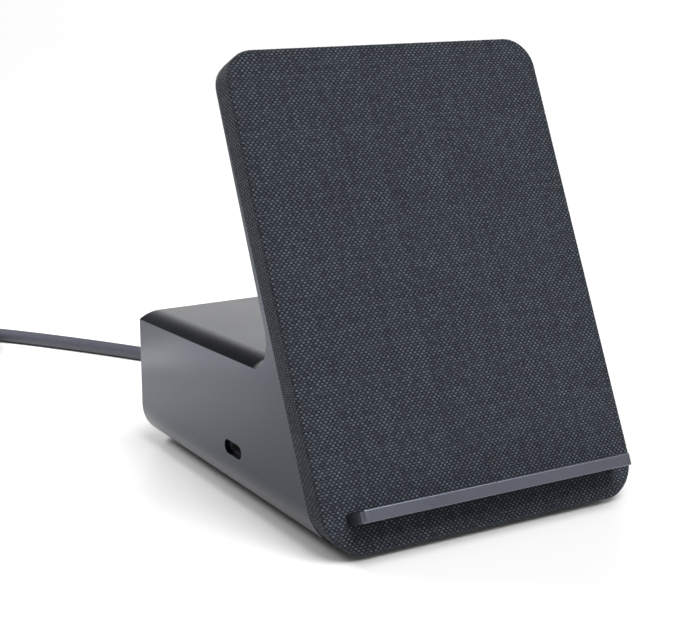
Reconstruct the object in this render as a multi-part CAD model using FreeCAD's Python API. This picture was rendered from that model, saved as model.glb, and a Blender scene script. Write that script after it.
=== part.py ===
"""Wireless charging stand with a docking base: a fabric face that leans back on an L-shaped
housing, a phone ledge, a side USB-C socket, rear sockets and a captive cable with its plug.

Millimetres. +X right as seen from the front, +Y to the back, +Z up. The origin is on the
surface it stands on, under the middle of the object without its cable.
"""
import FreeCAD, Part
import math
import os

V = FreeCAD.Vector

# ---- driving dimensions ------------------------------------------------------------------
WIDTH = 92.0                # across the stand
DEPTH = 108.0               # bottom front edge of the face to the back of the base
TILT = math.radians(24.9)   # the face leans back this far from upright
FACE_LENGTH = 124.9         # up the slope of the face
FABRIC_DEPTH = 6.7          # how far the fabric runs back round the edge of the face
FABRIC = 0.9                # thickness of the fabric and its backing
CORNER = 8.3                # radius of the two top corners
FLOOR_CORNER = 10.0         # radius of the long bottom edges
FEET = 1.2                  # height of the rubber feet
FACE_Z = 1.5                # height of the line that the sloping face is measured from
WALL = 2.0                  # housing wall
BASE_BACK_TOP = 38.2        # top of the base at its back
BASE_TOP_SLOPE = 0.0402     # the base rises towards the face
BACK_AT_TOP = 9.4           # back of the face slab behind the fabric's front, at its top
BACK_TAPER = 0.0215         # the slab gets deeper towards the base
CROWN_RADIUS = 10.6         # shallow rounding along the top and back edges of the housing
CROWN_DROP = 2.0            # how far that rounding falls at the crisp side edge
EDGE_SOFT = 0.35            # softening of that crisp side edge
RIM_HALF, RIM_HIGH = 39.3, 0.4          # thin upright rim under the rounded bottom edges
INNER_CORNER = 5.8          # concave radius where the slab meets the base
LEDGE_HALF = 39.7           # half the length of the phone ledge
LEDGE_LOW, LEDGE_HIGH = 7.62, 10.75     # its underside and its top, up the slope
LEDGE_OUT = 8.0             # how far it stands out from the fabric
LEDGE_ROUND, LEDGE_EDGE = 1.2, 0.4      # its rounded ends and its softened front edges
CABLE = 4.6                 # diameter of the captive cable
CABLE_X, CABLE_Z = 11.0, 18.5           # where it leaves the socket panel
BOARD_TOP = 12.95           # top of the main board
BOARD = 1.6                 # thickness of the main board
SIDE_PORT_Y, SIDE_PORT_Z = 50.3, 14.6   # middle of the side socket, y from the bottom front edge

SIN, COS = math.sin(TILT), math.cos(TILT)
HALF = WIDTH / 2
FRONT_Y = -(DEPTH + LEDGE_LOW * SIN - LEDGE_OUT * COS) / 2
BACK_Y = FRONT_Y + DEPTH
REAR_PANEL_Y = BACK_Y - 1.2     # outer face of the socket panel, set in from the housing's rim
NORMAL = V(0, COS, -SIN)        # straight back into the face
UPHILL = V(0, SIN, COS)         # up the slope of the face


# ---- helpers -----------------------------------------------------------------------------
def face_point(x, up, behind):
    """A point given across, up the slope and behind the fabric's front."""
    return V(x, FRONT_Y, FACE_Z) + UPHILL * up + NORMAL * behind


def box(x0, x1, y0, y1, z0, z1):
    return Part.makeBox(x1 - x0, y1 - y0, z1 - z0, V(x0, y0, z0))


def face_box(x0, x1, up0, up1, b0, b1):
    """A box square to the sloping face."""
    corners = [face_point(x, up, b0) for x, up in ((x0, up0), (x1, up0), (x1, up1), (x0, up1))]
    face = Part.Face(Part.makePolygon(corners + corners[:1]))
    return face.extrude(NORMAL * (b1 - b0))


def face_disc(x, up, radius, b0, b1):
    return Part.makeCylinder(radius, b1 - b0, face_point(x, up, b0), NORMAL)


def post(x, y, radius, z0, z1):
    return Part.makeCylinder(radius, z1 - z0, V(x, y, z0))


def slab(profile, half):
    """A side-view outline of (y, z) points made solid between x = -half and +half."""
    points = [V(-half, y, z) for y, z in profile]
    face = Part.Face(Part.makePolygon(points + points[:1]))
    return face.extrude(V(2 * half, 0, 0))


def stadium(width, height, length, start, along, across):
    """A slot-shaped bar: width across, height square to it, running along."""
    up = along.cross(across)
    radius = height / 2
    reach = width / 2 - radius
    a, b = start + across * reach, start - across * reach
    edges = [Part.LineSegment(a + up * radius, b + up * radius).toShape(),
             Part.Arc(b + up * radius, b - across * radius, b - up * radius).toShape(),
             Part.LineSegment(b - up * radius, a - up * radius).toShape(),
             Part.Arc(a - up * radius, a + across * radius, a + up * radius).toShape()]
    return Part.Face(Part.Wire(edges)).extrude(along * length)


def fillet_where(shape, radius, test):
    edges = [edge for edge in shape.Edges if test(edge)]
    return shape.makeFillet(radius, edges)


def runs_along(edge, direction):
    if len(edge.Vertexes) != 2 or not isinstance(edge.Curve, Part.Line):
        return False
    run = edge.Vertexes[1].Point.sub(edge.Vertexes[0].Point)
    return run.Length > 0.5 and abs(abs(run.dot(direction)) / run.Length - 1) < 1e-4


def save(node, *solids):
    """Writes a node's file; several solids make one group, such as a set of screws."""
    shape = solids[0] if len(solids) == 1 else Part.makeCompound(solids)
    shape.exportStep("parts/%s.step" % node)
    print("%-24s solids %d  volume %9.1f  valid %s" % (
        node, len(shape.Solids), shape.Volume, shape.isValid()))


# ---- the outer form ----------------------------------------------------------------------
def behind_at(up):
    """Depth of the slab's crowned back behind the fabric's front."""
    return BACK_AT_TOP + (FACE_LENGTH - up) * BACK_TAPER


def base_top_at(y):
    return BASE_BACK_TOP + (BACK_Y - y) * BASE_TOP_SLOPE


def corner_of_l(inset):
    """Where the slab's back line meets the base's top line, both moved in by the inset."""
    up = 40.0
    for _ in range(60):
        point = face_point(0, up, behind_at(up) - inset)
        up -= (point.z - (base_top_at(point.y) - inset)) * 0.8
    return face_point(0, up, behind_at(up) - inset)


def l_solid(inset, front, floor, back, half):
    """An L-shaped body between a plane parallel to the face, a floor and a back plane."""
    top_front = face_point(0, FACE_LENGTH + 5, front)
    top_back = face_point(0, FACE_LENGTH + 5, behind_at(FACE_LENGTH + 5) - inset)
    bottom = face_point(0, (floor - FACE_Z + front * SIN) / COS, front)
    corner = corner_of_l(inset)
    profile = [(bottom.y, bottom.z), (top_front.y, top_front.z), (top_back.y, top_back.z),
               (corner.y, corner.z), (back, base_top_at(back) - inset), (back, floor)]

    def at_corner(edge):
        point = edge.Vertexes[0].Point
        return runs_along(edge, V(1, 0, 0)) and math.hypot(point.y - corner.y, point.z - corner.z) < 0.1
    return fillet_where(slab(profile, half), INNER_CORNER + inset, at_corner)


def round_crown(body, reach):
    """Rounds the long edges of the slab's back and the base's top on both sides."""

    def on_crown(edge):
        middle = edge.valueAt((edge.FirstParameter + edge.LastParameter) / 2)
        on_side = edge.BoundBox.XLength < 0.01 and abs(abs(middle.x) - reach) < 0.01
        behind = middle.sub(face_point(0, 0, 0)).dot(NORMAL)
        up = middle.sub(face_point(0, 0, 0)).dot(UPHILL)
        on_slab = abs(behind - behind_at(up)) < 0.05 and up > 40
        on_base = abs(middle.z - base_top_at(middle.y)) < 0.05 and middle.y > FRONT_Y + 25
        corner = corner_of_l(0)
        on_bend = not isinstance(edge.Curve, Part.Line) and middle.sub(
            V(middle.x, corner.y, corner.z)).Length < INNER_CORNER + 3
        return on_side and (on_slab or on_base or on_bend)
    return fillet_where(body, CROWN_RADIUS, on_crown)


def soften_sides(body):
    """Softens the crisp edge where the crown meets each side wall."""
    def is_crisp(edge):
        middle = edge.valueAt((edge.FirstParameter + edge.LastParameter) / 2)
        on_side = edge.BoundBox.XLength < 0.01 and abs(abs(middle.x) - HALF) < 0.01
        inside = middle.sub(face_point(0, 0, 0)).dot(NORMAL) > FABRIC_DEPTH + 0.05
        return (on_side and inside and middle.y < BACK_Y - 0.05
                and middle.z > FEET + FLOOR_CORNER + 1)

    return fillet_where(body, EDGE_SOFT, is_crisp)


def corner_mask(inset):
    """Keeps what is inside the face's outline, whose two top corners are round."""
    shape = face_box(-HALF + inset, HALF - inset, -70, FACE_LENGTH - inset, -20, 170)
    top = FACE_LENGTH - inset
    return fillet_where(shape, CORNER - inset, lambda e: runs_along(e, NORMAL)
                        and e.Vertexes[0].Point.sub(face_point(0, 0, 0)).dot(UPHILL) > top - 1)


def floor_mask(inset):
    """Keeps what is above the bottom, whose two long edges are round."""
    shape = box(-HALF + inset, HALF - inset, FRONT_Y - 40, BACK_Y + 60, FEET + inset, 200)
    return fillet_where(shape, FLOOR_CORNER - inset, lambda e: runs_along(e, V(0, 1, 0))
                        and e.Vertexes[0].Z < FEET + inset + 1)


def outer_body():
    """The housing's outer form: crowned top and back, crisp side edges, round bottom edges."""
    crown_half = HALF - math.sqrt(2 * CROWN_RADIUS * CROWN_DROP - CROWN_DROP ** 2) + CROWN_RADIUS
    body = round_crown(l_solid(0, -30, -20, BACK_Y + 30, crown_half), crown_half)
    body = body.common(face_box(-HALF, HALF, -80, 200, FABRIC_DEPTH, 250))
    body = body.common(box(-HALF, HALF, FRONT_Y - 20, BACK_Y, FEET, 200))
    return soften_sides(body.common(corner_mask(0)).common(floor_mask(0)))


def bottom_rim():
    rim = box(-RIM_HALF, RIM_HALF, FRONT_Y, BACK_Y, FEET, FEET + RIM_HIGH)
    return rim.common(face_box(-HALF, HALF, -80, 200, FABRIC_DEPTH, 250))


def inner_space(gap):
    """The hollow of the housing, open at the front and the back."""
    body = l_solid(WALL + gap + 0.4, -8, FEET, BACK_Y + 20, HALF - WALL - gap)
    return body.common(corner_mask(WALL + gap)).common(floor_mask(WALL + gap))


def front_slab(inset, b0, b1):
    """A slice of the face's outline, from one depth to another."""
    slice_ = face_box(-HALF, HALF, -30, FACE_LENGTH, b0, b1)
    return slice_.common(corner_mask(inset)).common(floor_mask(inset))


# ---- places that several pieces share ----------------------------------------------------
COVER_HALF = 35.0
COVER_Y = (FRONT_Y + 13.0, BACK_Y - 5.0)
POST_Y = (FRONT_Y + 44.0, FRONT_Y + 84.0)
POST_SPOTS = [(x, y) for x in (-32.0, 32.0) for y in POST_Y]
STANDOFF_SPOTS = [(x, y) for x in (-22.0, 22.0) for y in (FRONT_Y + 42.0, FRONT_Y + 86.0)]
BOSS_SPOTS = [(x, up) for x in (-38.5, 38.5) for up in (18.0, 113.0)]
TAB_SPOTS = [(side, up) for side in (-1, 1) for up in (40.0, 70.0, 100.0)]
TONGUE_SPOTS = (-26.0, 0.0, 26.0)
COIL_SPOTS = {"lower_charging_coil": (50.0, 2.4), "upper_charging_coil": (82.0, 3.4)}
SIDE_Y = FRONT_Y + SIDE_PORT_Y
SHELL_GAP = 0.15            # round each rear socket in its hole
POWER_X, POWER_Z = -38.2, 18.6
REAR_USB_C_X, REAR_USB_C_Z = 42.0, 18.4
# Outsides of the rear sockets: left, right, bottom, top.
USB_A_SHELLS = [(-32.75, -19.25, z, z + 5.9) for z in (13.35, 21.15)]
NETWORK_BODY = (-15.6, 0.0, BOARD_TOP, 26.4)
DISPLAY_SHELLS = [(17.05, 32.95, z, z + 4.9) for z in (13.45, 20.45)]
VIDEO_SHELL = (34.55, 39.45, 13.35, 28.05)


# ---- housing -----------------------------------------------------------------------------
def make_housing():
    inner = inner_space(0)
    shell = outer_body().cut(inner).fuse(bottom_rim())
    shell = shell.cut(box(-COVER_HALF - 0.3, COVER_HALF + 0.3, COVER_Y[0] - 0.3, COVER_Y[1] + 0.3,
                          FEET - 1, FEET + WALL + 0.5))
    for x, y in POST_SPOTS:
        column = post(x, y, 3.0, FEET + WALL, 60)
        column = column.common(inner_space(-0.2))
        shell = shell.fuse(column)
    for x, y in POST_SPOTS:
        shell = shell.cut(post(x, y, 1.0, FEET, 20.0))
    port = stadium(9.4, 3.7, WALL + 2, V(-HALF - 1, SIDE_Y, SIDE_PORT_Z), V(1, 0, 0), V(0, 1, 0))
    save("housing", shell.cut(port).removeSplitter())


def rear_openings():
    """Holes in the socket panel, each as a bar along +Y through it."""
    y0 = REAR_PANEL_Y - WALL - 1
    back, up = V(0, 1, 0), V(0, 0, 1)
    holes = [Part.makeCylinder(3.6, WALL + 2, V(POWER_X, y0, POWER_Z), back),
             Part.makeCylinder(3.9, WALL + 2, V(CABLE_X, y0, CABLE_Z), back),
             stadium(9.3, 3.6, WALL + 2, V(REAR_USB_C_X, y0, REAR_USB_C_Z), back, up)]
    for x0, x1, z0, z1 in USB_A_SHELLS + DISPLAY_SHELLS + [VIDEO_SHELL, NETWORK_BODY]:
        holes.append(box(x0 - SHELL_GAP, x1 + SHELL_GAP, y0, y0 + WALL + 2, z0 - SHELL_GAP,
                         z1 + SHELL_GAP))
    return holes


def make_rear_panel():
    fill = inner_space(0.15)
    plate = fill.common(box(-HALF, HALF, REAR_PANEL_Y - WALL, REAR_PANEL_Y, 0, 60))
    for hole in rear_openings():
        plate = plate.cut(hole)
    save("rear_panel", plate)


def make_bottom_cover():
    plate = box(-COVER_HALF, COVER_HALF, COVER_Y[0], COVER_Y[1], FEET, FEET + WALL)
    plate = fillet_where(plate, 3.0, lambda e: runs_along(e, V(0, 0, 1)))
    for x, y in POST_SPOTS:
        plate = plate.cut(post(x, y, 1.2, 0, 10)).cut(post(x, y, 2.4, 0, FEET + 1.2))
    save("bottom_cover", plate)


def make_cover_screws():
    screws = []
    for x, y in POST_SPOTS:
        head = post(x, y, 2.2, FEET + 0.2, FEET + 1.2).cut(post(x, y, 0.8, FEET, FEET + 0.8))
        screws.append(head.fuse(post(x, y, 1.0, FEET + 1.2, FEET + 8.0)))
    save("cover_screws", *screws)


def make_feet():
    for node, y in (("front_foot", COVER_Y[0] + 2.0), ("rear_foot", COVER_Y[1] - 10.0)):
        pad = box(-33.0, 33.0, y, y + 8.0, 0, FEET)
        pad = fillet_where(pad, 3.9, lambda e: runs_along(e, V(0, 0, 1)))
        save(node, pad)


# ---- face --------------------------------------------------------------------------------
def tongue_boxes(gap):
    middle = (LEDGE_LOW + LEDGE_HIGH) / 2
    return [face_box(x - 5 - gap, x + 5 + gap, middle - 1.1 - gap, middle + 1.1 + gap, -0.5, 3.6)
            for x in TONGUE_SPOTS]


def make_fabric_cover():
    skin = front_slab(0, 0, FABRIC_DEPTH)
    front = [e for e in skin.Edges
             if abs(e.CenterOfMass.sub(face_point(0, 0, 0)).dot(NORMAL)) < 0.05]
    skin = skin.makeFillet(0.8, front).cut(front_slab(FABRIC, FABRIC, FABRIC_DEPTH + 1))
    for slot in tongue_boxes(0.2):
        skin = skin.cut(slot)
    save("fabric_cover", skin)


def tray_tab(side, up):
    """A catch on the tray's side wall: a rib, and a thinner lip that reaches into the housing."""
    solids = []
    for inner, b0, b1 in ((41.6, 5.0, FABRIC_DEPTH), (42.6, FABRIC_DEPTH, 7.1)):
        left, right = (inner, 43.7) if side > 0 else (-43.7, -inner)
        solids.append(face_box(left, right, up, up + 6, b0, b1))
    return solids[0].fuse(solids[1])


def make_face_tray():
    tray = front_slab(FABRIC, FABRIC, FABRIC_DEPTH).cut(
        front_slab(FABRIC + WALL, 2.2, FABRIC_DEPTH + 1))
    for x, up in BOSS_SPOTS:
        tray = tray.fuse(face_disc(x, up, 2.6, 2.0, 5.8))
    for x, up in BOSS_SPOTS:
        tray = tray.cut(face_disc(x, up, 0.9, 3.0, 6.5))
    for side, up in TAB_SPOTS:
        tray = tray.fuse(tray_tab(side, up))
    for slot in tongue_boxes(0.2):
        tray = tray.cut(slot)
    save("face_tray", tray.removeSplitter())


def make_ledge():
    bar = face_box(-LEDGE_HALF, LEDGE_HALF, LEDGE_LOW, LEDGE_HIGH, -LEDGE_OUT, 0)
    bar = fillet_where(bar, LEDGE_ROUND, lambda e: runs_along(e, UPHILL)
                       and e.CenterOfMass.sub(face_point(0, 0, 0)).dot(NORMAL) < -LEDGE_OUT + 1)
    front = [e for e in bar.Edges if e.CenterOfMass.sub(face_point(0, 0, 0)).dot(NORMAL) < -0.5
             and not runs_along(e, UPHILL)]
    bar = bar.makeFillet(LEDGE_EDGE, front)
    for tongue in tongue_boxes(0):
        bar = bar.fuse(tongue)
    save("phone_ledge", bar.removeSplitter())


def make_coils():
    frame = face_box(-33, 33, 22, 110, 2.25, 4.35)
    frame = fillet_where(frame, 6.0, lambda e: runs_along(e, NORMAL))
    for node, (up, b0) in COIL_SPOTS.items():
        ring = face_disc(0, up, 23.0, b0, b0 + 0.9).cut(face_disc(0, up, 10.0, b0 - 1, b0 + 2))
        save(node, ring)
        frame = frame.cut(face_disc(0, up, 23.3, 2.0, 4.6))
    save("coil_frame", frame)


def make_ferrite_and_backplate():
    sheet = face_box(-30, 30, 24, 108, 4.5, 5.3)
    sheet = fillet_where(sheet, 5.0, lambda e: runs_along(e, NORMAL))
    save("ferrite_sheet", sheet)
    plate = face_box(-41.0, 41.0, 13.5, 117.5, 5.8, 6.4)
    plate = fillet_where(plate, 4.0, lambda e: runs_along(e, NORMAL))
    screws = []
    for x, up in BOSS_SPOTS:
        plate = plate.cut(face_disc(x, up, 1.1, 5, 7))
        screws.append(face_disc(x, up, 1.8, 6.4, 7.0).fuse(face_disc(x, up, 0.9, 3.2, 6.4)))
    save("coil_backplate", plate)
    save("backplate_screws", *screws)


def make_charging_board():
    board = face_box(-30, 30, 16, 40, 7.0, 8.0)
    chips = [face_box(x - 3.5, x + 3.5, up - 3.5, up + 3.5, 8.0, 8.9)
             for x, up in ((-18, 30), (2, 30), (18, 27))]
    save("charging_board", board)
    save("charging_chips", *chips)
    posts = [face_disc(x, up, 1.6, 6.4, 7.0) for x in (-26.0, 26.0) for up in (19.0, 37.0)]
    save("charging_board_spacers", *posts)


# ---- base internals ----------------------------------------------------------------------
def make_ballast():
    plate = box(-35, 35, FRONT_Y + 22, BACK_Y - 7, 3.4, 6.6)
    plate = fillet_where(plate, 2.0, lambda e: runs_along(e, V(0, 0, 1)))
    for x, y in POST_SPOTS:
        plate = plate.cut(post(x, y, 3.4, 0, 10))
    save("ballast_plate", plate)


def make_main_board():
    board = box(-42.4, 43.4, FRONT_Y + 30, REAR_PANEL_Y - WALL - 0.4, BOARD_TOP - BOARD, BOARD_TOP)
    for x, y in POST_SPOTS:
        board = board.cut(post(x, y, 3.4, 0, 20))
    standoffs, screws = [], []
    for x, y in STANDOFF_SPOTS:
        board = board.cut(post(x, y, 1.3, 0, 20))
        standoffs.append(post(x, y, 2.2, 6.6, BOARD_TOP - BOARD).cut(post(x, y, 0.9, 6.6, 20)))
        screws.append(post(x, y, 2.0, BOARD_TOP, BOARD_TOP + 1.1).fuse(
            post(x, y, 0.9, 7.2, BOARD_TOP)))
    save("main_board", board)
    save("board_standoffs", *standoffs)
    save("board_screws", *screws)


def make_board_parts():
    top = BOARD_TOP
    y = FRONT_Y
    chips = [box(x, x + w, y + y0, y + y0 + w, top, top + 1.1)
             for x, y0, w in ((-10, 42, 12), (8, 50, 9), (-26, 56, 8), (26, 62, 7))]
    save("hub_chips", *chips)
    save("chip_pad", box(-10, 2, y + 42, y + 54, top + 1.1, top + 1.9))
    base = box(-14, 6, y + 38, y + 58, top + 1.9, top + 3.4)
    for i in range(6):
        x = -14 + i * 3.76
        base = base.fuse(box(x, x + 1.2, y + 38, y + 58, top + 3.4, top + 10))
    save("heat_sink", base.removeSplitter())
    save("inductors", *[box(x, x + 6, y + 70, y + 76, top, top + 3.2) for x in (-38, -14, -5, 14)])
    save("capacitors", *[post(x, y + 64, 2.6, top, top + 6) for x in (-38, -8, 0, 17, 37)])


SOCKET_Y = REAR_PANEL_Y - 0.2   # mouths of the rear sockets, just inside the panel's face
SHEET = 0.3                     # metal sheet of the sockets' shells


def socket_shell(outside, length, back_wall=1.0):
    """A rectangular metal shell that opens to the back."""
    x0, x1, z0, z1 = outside
    outer = box(x0, x1, SOCKET_Y - length, SOCKET_Y, z0, z1)
    return outer.cut(box(x0 + SHEET, x1 - SHEET, SOCKET_Y - length + back_wall, SOCKET_Y + 1,
                         z0 + SHEET, z1 - SHEET))


def tongue(x0, x1, z0, z1, length, back_wall=1.0):
    return box(x0, x1, SOCKET_Y - length + back_wall, SOCKET_Y - 1.0, z0, z1)


def make_power_jack():
    back = V(0, 1, 0)
    jack = box(POWER_X - 4.4, POWER_X + 4.4, SOCKET_Y - 12, SOCKET_Y - WALL - 0.2, BOARD_TOP,
               POWER_Z + 5.6)
    jack = jack.fuse(Part.makeCylinder(3.4, 5, V(POWER_X, SOCKET_Y - 5, POWER_Z), back))
    jack = jack.cut(Part.makeCylinder(2.75, 20, V(POWER_X, SOCKET_Y - 10, POWER_Z), back))
    save("power_jack", jack.removeSplitter())
    save("power_jack_pin", Part.makeCylinder(1.0, 8.5, V(POWER_X, SOCKET_Y - 10, POWER_Z), back))


def make_network_socket():
    """A box with a plug cavity, a narrower latch slot under it and eight spring contacts."""
    x0, x1, z0, z1 = NETWORK_BODY
    body = box(x0, x1, SOCKET_Y - 16, SOCKET_Y, z0, z1)
    body = body.cut(box(x0 + 2, x1 - 2, SOCKET_Y - 13, SOCKET_Y + 1, 16.6, z1 - 2.2))
    body = body.cut(box(x0 + 4.6, x1 - 4.6, SOCKET_Y - 13, SOCKET_Y + 1, 14.4, 16.6))
    save("network_socket", body)
    pins = [box(x0 + 3.4 + i * 1.1, x0 + 3.9 + i * 1.1, SOCKET_Y - 12, SOCKET_Y - 4, z1 - 2.8, z1 - 2.2)
            for i in range(8)]
    save("network_contacts", *pins)


def make_rear_sockets():
    make_power_jack()
    make_network_socket()
    save("usb_a_sockets", *[socket_shell(outside, 14) for outside in USB_A_SHELLS])
    save("usb_a_tongues", *[tongue(x0 + 1.15, x1 - 1.15, z1 - 2.6, z1 - 0.8, 14)
                            for x0, x1, _, z1 in USB_A_SHELLS])
    save("display_sockets", *[socket_shell(outside, 12) for outside in DISPLAY_SHELLS])
    save("display_tongues", *[tongue(x0 + 1.55, x1 - 1.55, z1 - 2.1, z1 - 1.1, 12)
                              for x0, x1, _, z1 in DISPLAY_SHELLS])
    x0, x1, z0, z1 = VIDEO_SHELL
    save("video_socket", socket_shell(VIDEO_SHELL, 12))
    save("video_tongue", tongue(x0 + 1.95, x1 - 1.95, z0 + 1.45, z1 - 1.45, 12))


def usb_c(start, along, across):
    """Shell and tongue of a USB-C socket whose mouth is at start and which runs along."""
    shell = stadium(8.94, 3.26, 7.0, start, along, across)
    shell = shell.cut(stadium(8.34, 2.66, 6.4, start, along, across))
    up = along.cross(across)
    tip = start + along * 0.8 - across * 3.3 - up * 0.35
    edge = [tip, tip + across * 6.6, tip + across * 6.6 + up * 0.7, tip + up * 0.7]
    return shell, Part.Face(Part.makePolygon(edge + edge[:1])).extrude(along * 5.6)


def make_usb_c_sockets():
    shell, blade = usb_c(V(-HALF + 1.5, SIDE_Y, SIDE_PORT_Z), V(1, 0, 0), V(0, 1, 0))
    save("side_usb_c_shell", shell)
    save("side_usb_c_tongue", blade)
    shell, blade = usb_c(V(REAR_USB_C_X, SOCKET_Y, REAR_USB_C_Z), V(0, -1, 0), V(0, 0, 1))
    save("rear_usb_c_shell", shell)
    save("rear_usb_c_tongue", blade)


# ---- cable -------------------------------------------------------------------------------
ROUTE = [(11.0, 71.0, 18.5), (11.0, 82.0, 18.5), (9.5, 95.0, 14.5), (4.8, 107.5, 7.5),
         (-2.5, 119.5, 2.3), (-11.0, 134.3, 2.3), (-23.5, 154.3, 2.3), (-41.5, 180.0, 2.3),
         (-61.0, 203.0, 2.3)]
COIL_MEAN = 25.3            # mean radius of the coil's turns
TAIL = [(44, 32.2, 6.4), (62, 33.8, 5.0), (80, 35.0, 3.2), (98, 35.6, 2.3), (116, 35.6, 2.3),
        (134, 35.8, 2.3), (152, 36.0, 2.3), (170, 36.0, 2.3), (188, 36.4, 2.3), (202, 37.2, 2.3),
        (216, 38.8, 2.3)]
# The tail's points are degrees round the coil, distance from its middle, and height.
TIE_ANGLE = math.radians(265)
TIE = 0.8                   # thickness of the hook-and-loop tie
COIL_HIGH = CABLE * 1.87    # two layers of turns, the upper in the grooves of the lower
PLUG_WIDE, PLUG_HIGH, PLUG_LONG, PLUG_RELIEF = 11.6, 6.4, 21.0, 12.0
RELIEF_END = 2.9            # radius of the plug's strain relief where it meets the body


def arc_radius(points, i):
    """Radius at a point of the route: 0.45 of the shorter run over the tangent of half the turn."""
    before = points[i].sub(points[i - 1])
    after = points[i + 1].sub(points[i])
    turn = before.getAngle(after)
    return 0.45 * min(before.Length, after.Length) / math.tan(turn / 2)


def route_wire(points):
    edges, last = [], points[0]
    for i in range(1, len(points) - 1):
        into = points[i].sub(points[i - 1]).normalize()
        out = points[i + 1].sub(points[i]).normalize()
        radius = arc_radius(points, i)
        half_turn = into.getAngle(out) / 2
        cut_back = radius * math.tan(half_turn)
        start, end = points[i] - into * cut_back, points[i] + out * cut_back
        inward = out.sub(into).normalize()
        middle = points[i] + inward * (radius / math.cos(half_turn) - radius)
        edges += [Part.LineSegment(last, start).toShape(), Part.Arc(start, middle, end).toShape()]
        last = end
        print("route point %d radius %.1f mm" % (i, radius))
    edges.append(Part.LineSegment(last, points[-1]).toShape())
    return Part.Wire(edges)


def tube(points, diameter):
    wire = route_wire(points)
    start = wire.Edges[0]
    circle = Part.Wire(Part.Circle(start.valueAt(start.FirstParameter),
                                   start.tangentAt(start.FirstParameter), diameter / 2).toShape())
    solid = wire.makePipeShell([circle], True, False)
    expected = math.pi * diameter ** 2 / 4 * wire.Length
    print("tube length %.1f mm, volume %.1f, section times length %.1f" % (
        wire.Length, solid.Volume, expected))
    return solid


def cone_along(start, direction, r0, r1, length):
    return Part.makeCone(r0, r1, length, start, direction)


def make_cable():
    back = V(0, 1, 0)
    exit_point = V(*ROUTE[0])
    y = REAR_PANEL_Y
    flange = Part.makeCylinder(5.2, 1.6, V(CABLE_X, y - WALL - 1.6, CABLE_Z), back)
    neck = Part.makeCylinder(3.8, WALL, V(CABLE_X, y - WALL, CABLE_Z), back)
    sleeve = cone_along(V(CABLE_X, y, CABLE_Z), back, 3.8, 2.9, exit_point.y - y)
    save("strain_relief", flange.fuse(neck).fuse(sleeve).removeSplitter())
    save("inner_cable", Part.makeCylinder(CABLE / 2, 16, V(CABLE_X, y - WALL - 17.6, CABLE_Z), back))
    save("cable_clamp", box(CABLE_X - 5, CABLE_X + 5, y - WALL - 14, y - WALL - 8, BOARD_TOP,
                            CABLE_Z + 4).cut(Part.makeCylinder(CABLE / 2, 40, V(CABLE_X, 20, CABLE_Z), back)))
    points = [V(*p) for p in ROUTE]
    save("host_cable", tube(points, CABLE))


def coil_centre():
    """The last run of the route is tangent to the coil's outer turn, which winds to the left."""
    heading = V(*ROUTE[-1]).sub(V(*ROUTE[-2])).normalize()
    left = V(-heading.y, heading.x, 0)
    centre = V(*ROUTE[-1]) + left * (COIL_MEAN + CABLE)
    return V(centre.x, centre.y, 0)


def polar(centre, degrees, radius, z):
    angle = math.radians(degrees)
    return centre + V(radius * math.cos(angle), radius * math.sin(angle), z)


def make_coil():
    """The put-away length: a tied ring of turns, two layers deep."""
    centre = coil_centre()
    inner, outer = COIL_MEAN - 1.5 * CABLE, COIL_MEAN + 1.5 * CABLE
    ring = Part.makeCylinder(outer, COIL_HIGH, centre)
    ring = ring.cut(Part.makeCylinder(inner, COIL_HIGH, centre))
    ring = ring.makeFillet(1.8, [e for e in ring.Edges if isinstance(e.Curve, Part.Circle)])
    room = TIE + 0.2            # the turns rest on the tie's bottom run
    strap = box(inner - 1.0, outer + 1.0, -5, 5, 0, COIL_HIGH + room + TIE)
    strap = strap.cut(box(inner - 0.2, outer + 0.2, -6, 6, TIE, COIL_HIGH + room))
    strap.rotate(V(0, 0, 0), V(0, 0, 1), math.degrees(TIE_ANGLE))
    strap.translate(centre)
    save("cable_coil", ring.cut(strap))
    save("cable_tie", strap)


def make_plug():
    """The last length comes down beside the coil and ends in the plug, flat on the surface."""
    centre = coil_centre()
    points = [polar(centre, *place) for place in TAIL]
    direction = points[-1].sub(points[-2]).normalize()
    across = V(-direction.y, direction.x, 0)
    save("cable_tail", tube(points, CABLE))
    start = points[-1]
    lift = V(0, 0, PLUG_HIGH / 2 - CABLE / 2)
    neck = start + V(0, 0, RELIEF_END - CABLE / 2)
    relief = cone_along(neck, direction, CABLE / 2 + 0.3, RELIEF_END, PLUG_RELIEF)
    save("plug_relief", relief)
    rear = start + direction * PLUG_RELIEF + lift
    body = stadium(PLUG_WIDE, PLUG_HIGH, PLUG_LONG, rear, direction, across)
    save("plug_body", body)
    tip_start = rear + direction * PLUG_LONG
    tip = stadium(8.25, 2.4, 6.65, tip_start, direction, across)
    save("plug_tip", tip.cut(stadium(7.6, 1.75, 5.8, tip_start + direction * 0.9, direction,
                                     across)))


def main():
    os.makedirs("parts", exist_ok=True)
    make_housing()
    make_rear_panel()
    make_bottom_cover()
    make_cover_screws()
    make_feet()
    make_fabric_cover()
    make_face_tray()
    make_ledge()
    make_coils()
    make_ferrite_and_backplate()
    make_charging_board()
    make_ballast()
    make_main_board()
    make_board_parts()
    make_rear_sockets()
    make_usb_c_sockets()
    make_cable()
    make_coil()
    make_plug()


main()
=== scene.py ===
"""Looks of the wireless charging stand: woven fabric face, satin housing, captive cable.

Metres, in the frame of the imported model: +X right, +Y back, +Z up, standing on z = 0.
"""

import math

import bmesh
import bpy
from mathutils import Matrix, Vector, noise


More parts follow.
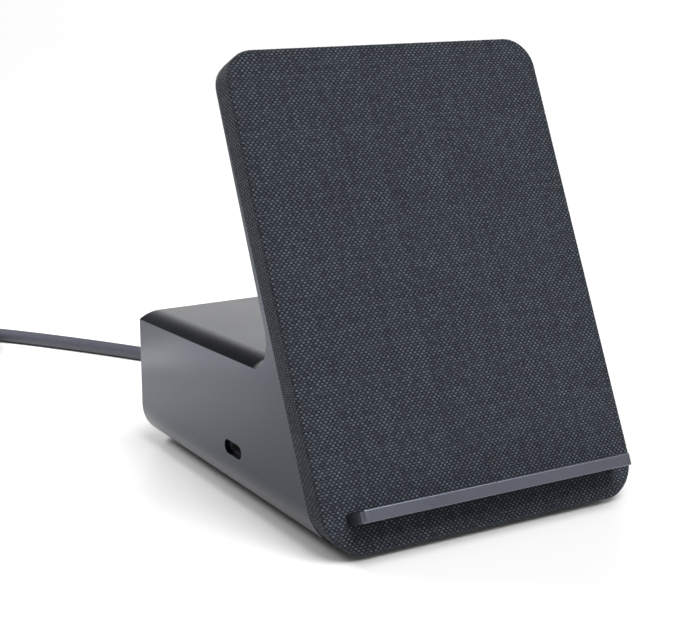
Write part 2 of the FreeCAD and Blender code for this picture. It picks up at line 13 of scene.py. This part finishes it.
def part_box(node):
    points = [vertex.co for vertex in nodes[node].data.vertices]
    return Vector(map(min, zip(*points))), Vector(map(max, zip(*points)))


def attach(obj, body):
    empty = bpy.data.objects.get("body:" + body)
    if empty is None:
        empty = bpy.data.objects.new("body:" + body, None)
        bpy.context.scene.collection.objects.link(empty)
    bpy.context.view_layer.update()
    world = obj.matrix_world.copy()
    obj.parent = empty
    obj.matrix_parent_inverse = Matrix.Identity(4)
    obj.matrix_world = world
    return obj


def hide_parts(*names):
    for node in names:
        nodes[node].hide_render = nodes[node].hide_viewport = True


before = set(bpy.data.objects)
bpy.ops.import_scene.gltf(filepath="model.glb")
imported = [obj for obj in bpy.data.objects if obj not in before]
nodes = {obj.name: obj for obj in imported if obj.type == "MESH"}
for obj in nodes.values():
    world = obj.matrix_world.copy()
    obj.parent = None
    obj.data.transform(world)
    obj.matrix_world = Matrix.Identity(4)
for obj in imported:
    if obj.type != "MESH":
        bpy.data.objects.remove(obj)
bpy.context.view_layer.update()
MM = 0.001

# ---- driving sizes, metres ---------------------------------------------------------------
TILT = math.radians(24.9)           # the face leans back this far
NORMAL = Vector((0, math.cos(TILT), -math.sin(TILT)))   # straight back into the face
UPHILL = Vector((0, math.sin(TILT), math.cos(TILT)))    # up the slope of the face
FACE_Z = 1.5 * MM                   # height of the line that the face is measured from
FABRIC_BACK = 6.55 * MM             # where the fabric's hem lies, behind its front
FACE_LENGTH = 124.9 * MM
FACE_HALF = 46.0 * MM
TOP_CORNER = 8.3 * MM
FLOOR_CORNER = 10.0 * MM
EDGE_ROLL = 0.9 * MM                # the fabric's bend round the edge of the face
HEM_TUCK = 0.6 * MM                 # how far the hem turns in behind the tray
YARN = 0.644 * MM                   # pitch of the yarns, both ways
CABLE_MM = 4.6
CABLE = CABLE_MM * MM

# ---- camera ------------------------------------------------------------------------------
CAMERA_PLACE = Vector((-0.2117, -0.33667, 0.1430))
CAMERA_AZIMUTH = math.radians(-30.5)
CAMERA_ELEVATION = math.radians(14.04)
CAMERA_LENS = 81.76
SENSOR = 36.0


def make_camera():
    data = bpy.data.cameras.new("camera")
    data.lens = CAMERA_LENS
    data.sensor_width = SENSOR
    data.clip_start = 0.01
    data.clip_end = 20
    camera = bpy.data.objects.new("camera", data)
    bpy.context.collection.objects.link(camera)
    flat = math.cos(CAMERA_ELEVATION)
    back = Vector((math.sin(CAMERA_AZIMUTH) * flat, -math.cos(CAMERA_AZIMUTH) * flat,
                   math.sin(CAMERA_ELEVATION)))
    camera.location = CAMERA_PLACE
    camera.rotation_mode = "QUATERNION"
    camera.rotation_quaternion = (-back).to_track_quat("-Z", "Y")
    bpy.context.scene.camera = camera


make_camera()

# ---- cable -------------------------------------------------------------------------------
# The route's points are the design's own, in millimetres. From the fifth one on, the cable lies on
# the surface.
ROUTE = [(11.0, 71.0, 18.5), (11.0, 82.0, 18.5), (9.5, 95.0, 14.5), (4.8, 107.5, 7.5),
         (-2.5, 119.5, 2.3), (-11.0, 134.3, 2.3), (-23.5, 154.3, 2.3), (-41.5, 180.0, 2.3),
         (-61.0, 203.0, 2.3)]
TAIL = [(44, 32.2, 6.4), (62, 33.8, 5.0), (80, 35.0, 3.2), (98, 35.6, 2.3), (116, 35.6, 2.3),
        (134, 35.8, 2.3), (152, 36.0, 2.3), (170, 36.0, 2.3), (188, 36.4, 2.3), (202, 37.2, 2.3),
        (216, 38.8, 2.3)]
# The tail's points are degrees round the coil, distance from its middle, and height.
COIL_MEAN = 25.3                    # mean radius of the put-away turns
TURNS = 5                           # three on the surface winding in, two in their grooves winding out
POINTS_A_TURN = 16
STEADY = math.radians(210)          # each turn is round this far, then shifts to the next one
GROOVE = 0.866 * CABLE_MM           # how much higher the upper turns lie
HUMP = 0.13 * CABLE_MM              # rise of an upper turn where it crosses a lower one
TIE_ANGLE, TIE, TIE_REACH = math.radians(265), 0.8, math.radians(50)


def ease(t):
    """0 to 1 with a level start and end."""
    t = min(1.0, max(0.0, t))
    return t * t * (3 - 2 * t)


def coil_centre():
    """The last run of the route is tangent to the coil's outer turn, which winds to the left."""
    end, before = Vector(ROUTE[-1]), Vector(ROUTE[-2])
    heading = (end - before).normalized()
    left = Vector((-heading.y, heading.x, 0))
    centre = end + left * (COIL_MEAN + CABLE_MM)
    return Vector((centre.x, centre.y, 0)), math.atan2(-left.y, -left.x)


def turn_place(turned):
    """Radius and height after winding this far: neighbours stay a diameter apart. The third turn
    climbs on to the second layer as it shifts."""
    turn = int(turned / (2 * math.pi))
    shift = (turned - turn * 2 * math.pi - STEADY) / (2 * math.pi - STEADY)
    outer, low = COIL_MEAN + CABLE_MM, CABLE_MM / 2
    if turn < 2:
        return outer - CABLE_MM * (turn + ease(shift)), low
    if turn == 2:
        climb = ease((shift + 0.2) / 0.65)
        over = HUMP * max(0.0, 1 - abs(shift - 0.75) * 4)
        radius = outer - CABLE_MM * 2 + CABLE_MM / 2 * ease((shift - 0.45) / 0.55)
        return radius, low + GROOVE * climb + over
    over = HUMP * max(0.0, 1 - abs(shift - 0.5) * 2)
    return outer - CABLE_MM * (4.5 - turn - ease(shift)), low + GROOVE + over


def tie_lift(angle):
    """The turns rest on the tie's bottom run where they pass through it."""
    away = abs((angle - TIE_ANGLE + math.pi) % (2 * math.pi) - math.pi)
    return TIE * ease(1.15 - away / TIE_REACH)


def coil_points():
    """The turns of the coil, with the bend of the smooth line inside its points allowed for."""
    centre, start = coil_centre()
    total = 2 * math.pi * TURNS
    count = TURNS * POINTS_A_TURN
    points = []
    for i in range(1, count):
        turned = total * i / count
        radius, height = turn_place(turned)
        radius /= math.cos(math.pi / POINTS_A_TURN)
        angle = start + turned
        points.append((centre.x + radius * math.cos(angle), centre.y + radius * math.sin(angle),
                       height + tie_lift(angle)))
    return points


def tail_points():
    """The last length, which comes down beside the coil and goes round it to the plug."""
    centre, _ = coil_centre()
    points = []
    for degrees, radius, height in TAIL:
        angle = math.radians(degrees)
        points.append((centre.x + radius * math.cos(angle), centre.y + radius * math.sin(angle), height))
    return points


def make_cable():
    data = bpy.data.curves.new("usb_cable", "CURVE")
    data.dimensions = "3D"
    spline = data.splines.new("NURBS")
    points = ROUTE + coil_points() + tail_points()
    spline.points.add(len(points) - 1)
    for point, place in zip(spline.points, points):
        point.co = (place[0] * MM, place[1] * MM, place[2] * MM, 1)
        point.radius = CABLE / 2
    spline.order_u = 3
    spline.use_endpoint_u = True
    spline.resolution_u = 12
    data.bevel_depth = 1.0              # times each point's radius, which the curve's box counts
    data.bevel_resolution = 6
    data.use_fill_caps = True
    cable = bpy.data.objects.new("usb_cable", data)
    bpy.context.collection.objects.link(cable)
    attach(cable, "root")
    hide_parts("host_cable", "cable_coil", "cable_tail")
    return cable


cable = make_cable()


# ---- material helpers --------------------------------------------------------------------
def srgb(r, g, b):
    """Linear colour of a 0 to 255 sRGB one."""
    def linear(v):
        v /= 255
        return v / 12.92 if v <= 0.04045 else ((v + 0.055) / 1.055) ** 2.4
    return (linear(r), linear(g), linear(b), 1)


class Tree:
    """A node tree under construction, of a material or of the world."""

    def __init__(self, tree):
        self.tree = tree

    def put(self, socket, value):
        if isinstance(value, bpy.types.NodeSocket):
            self.tree.links.new(value, socket)
        else:
            socket.default_value = value

    def add(self, kind, inputs=(), **settings):
        node = self.tree.nodes.new(kind)
        for key, value in settings.items():
            setattr(node, key, value)
        for socket, value in inputs:
            self.put(node.inputs[socket], value)
        return node

    def math(self, operation, a, b=0.0):
        node = self.add("ShaderNodeMath", operation=operation)
        self.put(node.inputs[0], a)
        self.put(node.inputs[1], b)
        return node.outputs[0]

    def ramp(self, value, low, high, out_low, out_high, smooth=False):
        node = self.add("ShaderNodeMapRange", [("Value", value), ("From Min", low), ("From Max", high),
                                               ("To Min", out_low), ("To Max", out_high)])
        if smooth:
            node.interpolation_type = "SMOOTHSTEP"
        return node.outputs[0]

    def mix(self, factor, a, b):
        node = self.add("ShaderNodeMix", data_type="RGBA")
        self.put(node.inputs["Factor"], factor)
        self.put(node.inputs[6], a)
        self.put(node.inputs[7], b)
        return node.outputs[2]

    def scaled(self, vector, factor):
        node = self.add("ShaderNodeVectorMath", [(0, vector)], operation="SCALE")
        self.put(node.inputs["Scale"], factor)
        return node.outputs[0]

    def parts(self, vector):
        return self.add("ShaderNodeSeparateXYZ", [("Vector", vector)]).outputs

    def joined(self, x, y, z=0.0):
        return self.add("ShaderNodeCombineXYZ", [("X", x), ("Y", y), ("Z", z)]).outputs[0]


class Surface(Tree):
    """A material: one Principled shader and the nodes that feed it."""

    def __init__(self, name, roughness=0.5, metallic=0.0, specular=0.5):
        self.material = bpy.data.materials.new(name)
        self.material.use_nodes = True
        super().__init__(self.material.node_tree)
        self.shader = self.tree.nodes["Principled BSDF"]
        self.shader.inputs["Roughness"].default_value = roughness
        self.shader.inputs["Metallic"].default_value = metallic
        self.shader.inputs["Specular IOR Level"].default_value = specular
        self.place = self.tree.nodes.new("ShaderNodeTexCoord").outputs["Object"]

    def noise(self, scale, detail=2.0, roughness=0.5, place=None):
        node = self.add("ShaderNodeTexNoise", [("Vector", place or self.place), ("Scale", scale),
                                               ("Detail", detail), ("Roughness", roughness)])
        return node.outputs["Fac"]

    def stretched(self, x, y, z):
        return self.add("ShaderNodeMapping", [("Vector", self.place), ("Scale", (x, y, z))]).outputs[0]

    def colour(self, value):
        self.put(self.shader.inputs["Base Color"], value)

    def roughness(self, value):
        self.put(self.shader.inputs["Roughness"], value)

    def bump(self, height, strength, distance):
        node = self.add("ShaderNodeBump", [("Height", height), ("Strength", strength),
                                           ("Distance", distance)])
        self.tree.links.new(node.outputs[0], self.shader.inputs["Normal"])


def satin(name, dark, light, roughness, metallic=0.0, grain=5200.0, depth=0.03):
    """Fine bead-blasted finish: an even grain with faint cloudiness under it."""
    s = Surface(name, metallic=metallic, specular=0.4)
    cloud = s.noise(38.0, 3.0)
    fine = s.noise(grain, 2.0, 0.6)
    tone = s.math("ADD", s.ramp(cloud, 0.3, 0.7, 0.1, 0.6), s.ramp(fine, 0.3, 0.7, -0.15, 0.35))
    s.colour(s.mix(tone, dark, light))
    s.roughness(s.ramp(s.math("ADD", fine, cloud), 0.7, 1.3, roughness - 0.03, roughness + 0.04))
    s.bump(fine, depth, 0.02 * MM)
    return s.material


def brushed(name, dark, light, roughness, along=(1.0, 30.0, 30.0)):
    """Metal with fine lines along one axis."""
    s = Surface(name, metallic=1.0)
    lines = s.noise(900.0, 3.0, 0.6, s.stretched(*along))
    s.colour(s.mix(s.ramp(lines, 0.3, 0.7, 0.0, 1.0), dark, light))
    s.roughness(s.ramp(lines, 0.3, 0.7, roughness - 0.04, roughness + 0.07))
    s.bump(lines, 0.04, 0.01 * MM)
    return s.material


def rubber(name, dark, light, roughness=0.7, grain=1800.0):
    """Soft matt skin with a slightly pebbled surface."""
    s = Surface(name, specular=0.35)
    fine = s.noise(grain, 4.0, 0.6)
    s.colour(s.mix(s.ramp(fine, 0.3, 0.7, 0.0, 1.0), dark, light))
    s.roughness(s.ramp(fine, 0.3, 0.7, roughness - 0.06, roughness + 0.06))
    s.bump(fine, 0.08, 0.03 * MM)
    return s.material


def dress(node_name, material):
    """Gives a CAD node its material."""
    for slot in nodes[node_name].material_slots:
        slot.material = material


# ---- fabric ------------------------------------------------------------------------------
FACE_FOOT_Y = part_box("fabric_cover")[0].y   # front of the fabric solid's rounded lower edge
BOTTOM_STRETCH = 1 / math.cos(TILT)         # the sloping face cuts the round bottom edges longer
CLOTH_OFFSET = 400                  # keeps the yarn counts above zero
WEAVE_RISE = 0.07 * MM              # depth of the dips between the yarns
# The yarns wander a little.
WOBBLE = 0.05 * MM
WOBBLE_SCALE = 260.0                # about this many waves a metre
FLOAT_ROUND = 2.6                   # power of a float's outline, from 2 for an oval
WARP_FLOAT, WEFT_FLOAT = (1.4, 0.9), (0.92, 1.0)    # half width and height, in half yarns
WARP_LOW, WARP_HIGH = srgb(24, 27, 33), srgb(83, 88, 95)
WEFT_LOW, WEFT_HIGH = srgb(19, 22, 28), srgb(42, 46, 53)


def float_shape(s, across, up, wide, tall):
    """1 in the middle of a yarn's float and 0 at its rim, from its own -1 to 1 places."""
    far_x = s.math("POWER", s.math("ABSOLUTE", s.math("DIVIDE", across, wide)), FLOAT_ROUND)
    far_y = s.math("POWER", s.math("ABSOLUTE", s.math("DIVIDE", up, tall)), FLOAT_ROUND)
    far = s.math("ADD", far_x, far_y)
    return s.ramp(far, 0.15, 1.1, 1.0, 0.0, smooth=True)


def chance_of(s, vector, shift):
    """A random value for each cell, yarn or row that the vector counts."""
    moved = s.add("ShaderNodeVectorMath", [(0, vector), (1, (shift, shift * 1.7, 0.5))],
                  operation="ADD").outputs[0]
    return s.add("ShaderNodeTexWhiteNoise", [("Vector", moved)], noise_dimensions="3D").outputs[0]


def weave_material():
    """Plain weave of two dark yarns, one flecked lighter. The cloth_place attribute holds each
    point's place on the flat cloth, counted in yarns."""
    s = Surface("woven_fabric", roughness=0.92, specular=0.12)
    place = s.add("ShaderNodeAttribute", attribute_name="cloth_place").outputs["Vector"]
    across, up, _ = s.parts(place)
    column, row = s.math("FLOOR", across), s.math("FLOOR", up)
    is_weft = s.math("PINGPONG", s.math("ADD", column, row), 1.0)
    own_x = s.math("MULTIPLY", s.math("SUBTRACT", s.math("FRACT", across), 0.5), 2.0)
    own_y = s.math("MULTIPLY", s.math("SUBTRACT", s.math("FRACT", up), 0.5), 2.0)
    cell_chance = chance_of(s, s.joined(column, row), 3.5)
    warp_chance = chance_of(s, s.joined(column, 0.0), 9.5)
    weft_chance = chance_of(s, s.joined(0.0, row), 17.5)
    fibres = s.noise(5.0, 3.0, 0.7, s.joined(across, s.math("MULTIPLY", up, 2.5)))
    light_float = float_shape(s, own_x, own_y, *WARP_FLOAT)
    dark_float = float_shape(s, own_x, own_y, *WEFT_FLOAT)
    bright = s.math("ADD", s.math("MULTIPLY", cell_chance, 0.5), s.math("MULTIPLY", warp_chance, 0.2))
    bright = s.math("ADD", bright, s.math("MULTIPLY", fibres, 0.45))
    warp = s.mix(s.math("MULTIPLY", bright, light_float), WARP_LOW, WARP_HIGH)
    weft_bright = s.math("ADD", s.math("MULTIPLY", cell_chance, 0.5), s.math("MULTIPLY", weft_chance, 0.5))
    weft = s.mix(s.math("MULTIPLY", weft_bright, dark_float), WEFT_LOW, WEFT_HIGH)
    melange = s.ramp(s.noise(0.05, 3.0, 0.6, place), 0.3, 0.7, 0.94, 1.06)
    s.colour(s.scaled(s.mix(is_weft, warp, weft), melange))
    s.shader.inputs["Sheen Weight"].default_value = 0.06
    s.shader.inputs["Sheen Roughness"].default_value = 0.5
    s.bump(s.math("ADD", light_float, s.math("MULTIPLY", fibres, 0.4)), 0.5, 0.05 * MM)
    return s.material


def wrap(x, up):
    """Place on the stand of a point of the flat cloth, as across, up the slope and behind the
    face: flat on the face, round its edge, then back along the side. Also says how far past the
    flat part it is."""
    upper, lower = FACE_LENGTH - TOP_CORNER, FLOOR_CORNER * BOTTOM_STRETCH
    corner = TOP_CORNER if up > FACE_LENGTH / 2 else FLOOR_CORNER
    beyond_x = max(0.0, abs(x) - (FACE_HALF - corner))
    if up > upper:
        edge, beyond_up, stretch, side = upper, up - upper, 1.0, 1
    elif up < lower:
        edge, beyond_up, stretch, side = lower, (lower - up) / BOTTOM_STRETCH, BOTTOM_STRETCH, -1
    else:
        edge, beyond_up, stretch, side = up, 0.0, 1.0, 1
    reach = math.hypot(beyond_x, beyond_up)
    past = reach - (corner - EDGE_ROLL)
    if past <= 0:
        return x, up, 0.0, past
    bend = EDGE_ROLL * math.pi / 2
    if past < bend:
        angle = past / EDGE_ROLL
        radius = corner - EDGE_ROLL * (1 - math.sin(angle))
        behind = EDGE_ROLL * (1 - math.cos(angle))
    else:
        radius, behind = corner, EDGE_ROLL + past - bend
    if behind > FABRIC_BACK:
        radius -= min(behind - FABRIC_BACK, HEM_TUCK)
        behind = FABRIC_BACK
    scale = radius / reach
    new_x = math.copysign(abs(x) - beyond_x + beyond_x * scale, x)
    new_up = edge + side * beyond_up * scale * stretch
    lean = ease((0.5 * FACE_LENGTH - new_up) / (0.4 * FACE_LENGTH))
    return new_x, new_up + behind * math.tan(TILT) * lean, behind, past


def on_face(x, up, behind):
    """Place in the frame of a point across, up the slope and behind the face."""
    return Vector((x, FACE_FOOT_Y, FACE_Z)) + UPHILL * up + NORMAL * behind


def cloth_rise(column, row):
    """Height of the weave at a half-yarn grid point, from 1 on a float to -1 between yarns."""
    if column % 2 and row % 2:
        return 1.0 if (column // 2 + row // 2) % 2 == 0 else 0.45
    return 0.1 if column % 2 or row % 2 else -1.0


def make_fabric():
    """One sheet stretched over the face and round its edge, woven with raised yarn floats."""
    step = YARN / 2
    strip = EDGE_ROLL * math.pi / 2 - EDGE_ROLL + FABRIC_BACK
    columns = int((FACE_HALF + strip + HEM_TUCK) / step)
    first_row = int(-(strip + HEM_TUCK) * BOTTOM_STRETCH / step) - 1
    last_row = int((FACE_LENGTH + strip + HEM_TUCK) / step) + 1
    mesh = bmesh.new()
    layer = mesh.verts.layers.float_vector.new("cloth_place")
    grid = {}
    for row in range(first_row, last_row + 1):
        for column in range(-columns, columns + 1):
            x, up = column * step, row * step
            wobble = noise.noise_vector(Vector((x, up, 0)) * WOBBLE_SCALE) * WOBBLE
            new_x, new_up, behind, past = wrap(x + wobble.x, up + wobble.y)
            if past > strip + EDGE_ROLL + HEM_TUCK:
                continue
            vert = mesh.verts.new(on_face(new_x, new_up, behind))
            vert[layer] = (x / YARN + CLOTH_OFFSET, up / YARN + CLOTH_OFFSET, 0)
            grid[row, column] = vert
    for row, column in grid:
        corners = [(row, column), (row, column + 1), (row + 1, column + 1), (row + 1, column)]
        if all(corner in grid for corner in corners):
            mesh.faces.new([grid[corner] for corner in corners])
    mesh.normal_update()
    raised = [(vert, vert.normal * WEAVE_RISE * (cloth_rise(column, row) - 1) / 2)
              for (row, column), vert in grid.items()]
    for vert, move in raised:
        vert.co += move
    for vert in [v for v in mesh.verts if not v.link_faces]:
        mesh.verts.remove(vert)
    data = bpy.data.meshes.new("woven_cover")
    mesh.to_mesh(data)
    mesh.free()
    data.polygons.foreach_set("use_smooth", [True] * len(data.polygons))
    cover = bpy.data.objects.new("woven_cover", data)
    bpy.context.collection.objects.link(cover)
    data.materials.append(weave_material())
    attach(cover, "root")
    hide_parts("fabric_cover")


make_fabric()

# ---- finishes of the CAD nodes -----------------------------------------------------------
BODY = satin("body_plastic", srgb(46, 50, 59), srgb(53, 57, 66), 0.22, metallic=0.93)
PANEL = satin("port_panel_plastic", srgb(38, 40, 45), srgb(50, 52, 58), 0.5)
COVER = satin("cover_plastic", srgb(36, 38, 42), srgb(48, 50, 55), 0.55)
INNER = satin("inner_plastic", srgb(40, 41, 44), srgb(54, 55, 59), 0.5)
SOCKET_BLACK = satin("socket_plastic", srgb(18, 18, 20), srgb(30, 30, 33), 0.4)
CHIP = satin("chip_plastic", srgb(20, 20, 21), srgb(34, 34, 36), 0.45)
LEDGE = satin("ledge_metal", srgb(98, 101, 111), srgb(108, 111, 121), 0.36, metallic=1.0, depth=0.01)
SOCKET = brushed("socket_metal", srgb(176, 176, 180), srgb(205, 205, 208), 0.28)
STEEL = brushed("screw_steel", srgb(90, 90, 94), srgb(120, 120, 124), 0.35)
BALLAST = brushed("ballast_steel", srgb(150, 150, 152), srgb(180, 180, 182), 0.4)
ALUMINIUM = brushed("plate_aluminium", srgb(190, 191, 194), srgb(215, 216, 219), 0.35)
BRASS = brushed("contact_brass", srgb(196, 164, 92), srgb(222, 192, 120), 0.25)
COPPER = brushed("coil_copper", srgb(176, 98, 62), srgb(208, 128, 84), 0.35)
FERRITE = satin("ferrite", srgb(44, 44, 47), srgb(62, 62, 66), 0.6)
BOARD = satin("circuit_board", srgb(16, 62, 44), srgb(28, 82, 60), 0.35)
PAD = rubber("thermal_pad", srgb(140, 150, 160), srgb(160, 170, 180))
FEET = rubber("foot_rubber", srgb(30, 30, 32), srgb(42, 42, 45), 0.8)
JACKET = rubber("cable_jacket", srgb(60, 61, 69), srgb(70, 71, 79), 0.4)
PLUG = satin("plug_plastic", srgb(74, 77, 86), srgb(88, 91, 100), 0.45)
TIE_CLOTH = rubber("tie_fabric", srgb(26, 26, 29), srgb(52, 52, 56), 0.9)

FINISHES = {
    BODY: ("housing",), PANEL: ("rear_panel",), COVER: ("bottom_cover",),
    INNER: ("face_tray", "coil_frame", "charging_board_spacers", "cable_clamp"),
    SOCKET_BLACK: ("power_jack", "usb_a_tongues", "network_socket", "display_tongues", "video_tongue",
                   "side_usb_c_tongue", "rear_usb_c_tongue"),
    CHIP: ("charging_chips", "hub_chips"), LEDGE: ("phone_ledge",),
    SOCKET: ("usb_a_sockets", "display_sockets", "video_socket", "side_usb_c_shell",
             "rear_usb_c_shell", "plug_tip"),
    STEEL: ("cover_screws", "backplate_screws", "board_screws"), BALLAST: ("ballast_plate",),
    ALUMINIUM: ("coil_backplate", "heat_sink", "capacitors"),
    BRASS: ("power_jack_pin", "network_contacts", "board_standoffs"),
    COPPER: ("lower_charging_coil", "upper_charging_coil"), FERRITE: ("ferrite_sheet", "inductors"),
    BOARD: ("charging_board", "main_board"), PAD: ("chip_pad",), FEET: ("front_foot", "rear_foot"),
    JACKET: ("strain_relief", "inner_cable", "host_cable", "cable_coil", "cable_tail"),
    PLUG: ("plug_relief", "plug_body"), TIE_CLOTH: ("cable_tie",),
}
for material, names in FINISHES.items():
    for name in names:
        dress(name, material)
cable.data.materials.append(JACKET)


# ---- floor and light ---------------------------------------------------------------------
FLOOR_HALF = 8                      # metres
AMBIENT = 0.08                      # the studio's darkest part


def make_floor():
    mesh = bmesh.new()
    bmesh.ops.create_grid(mesh, x_segments=8, y_segments=8, size=FLOOR_HALF)
    data = bpy.data.meshes.new("floor")
    mesh.to_mesh(data)
    mesh.free()
    floor = bpy.data.objects.new("floor", data)
    bpy.context.collection.objects.link(floor)
    s = Surface("floor_white", roughness=0.3, specular=0.5)
    s.colour(s.mix(s.noise(3.0), (0.72, 0.72, 0.72, 1), (0.74, 0.74, 0.74, 1)))
    data.materials.append(s.material)


def aim(light, place, target):
    light.location = place
    light.rotation_mode = "QUATERNION"
    light.rotation_quaternion = (Vector(target) - Vector(place)).to_track_quat("-Z", "Y")


def area_light(name, place, target, wide, tall, power, reflected=False):
    """A panel that the camera doesn't see, nor the reflections unless asked."""
    data = bpy.data.lights.new(name, "AREA")
    data.shape = "RECTANGLE"
    data.size, data.size_y, data.energy = wide, tall, power
    light = bpy.data.objects.new(name, data)
    bpy.context.collection.objects.link(light)
    light.visible_camera = False
    light.visible_glossy = reflected
    aim(light, place, target)


def sun_light(name, place, strength, spread):
    data = bpy.data.lights.new(name, "SUN")
    data.energy, data.angle = strength, math.radians(spread)
    light = bpy.data.objects.new(name, data)
    bpy.context.collection.objects.link(light)
    aim(light, place, (0, 0, 0))


def make_world():
    """A studio by direction: a bright low band behind, brighter to the right, that fades out above,
    and soft light from the front and from overhead."""
    world = bpy.data.worlds.new("studio")
    bpy.context.scene.world = world
    world.use_nodes = True
    t = Tree(world.node_tree)
    x, y, z = t.parts(t.tree.nodes.new("ShaderNodeTexCoord").outputs["Generated"])
    low = t.ramp(z, 0.24, 0.40, 1.0, 0.0, smooth=True)
    to_right = t.ramp(x, -0.2, 0.8, 0.3, 1.35)
    back = t.math("MULTIPLY", t.ramp(y, -0.1, 0.6, 0.0, 1.0, smooth=True), to_right)
    front = t.ramp(y, 0.1, -0.6, 0.0, 0.55, smooth=True)
    top = t.ramp(z, 0.80, 0.97, 0.0, 0.5, smooth=True)
    glow = t.math("ADD", t.math("MULTIPLY", low, back), t.math("ADD", front, top))
    background = t.tree.nodes["Background"]
    background.inputs["Color"].default_value = (1, 1, 1, 1)
    t.put(background.inputs["Strength"], t.math("ADD", glow, AMBIENT))


make_floor()
make_world()
sun_light("key_light", (0.13, -0.42, 0.89), strength=3.9, spread=45)
area_light("floor_glow", (-0.20, 0.25, 0.22), (-0.16, 0.20, 0.0), wide=0.12, tall=0.12, power=1.1)
# The side wall reflects this panel instead of the dark coil behind it.
area_light("wall_glow", (-0.083, 0.113, 0.014), (-0.046, 0.050, 0.032), wide=0.06, tall=0.022,
           power=0.0045, reflected=True)
bpy.context.scene.view_settings.view_transform = "Standard"
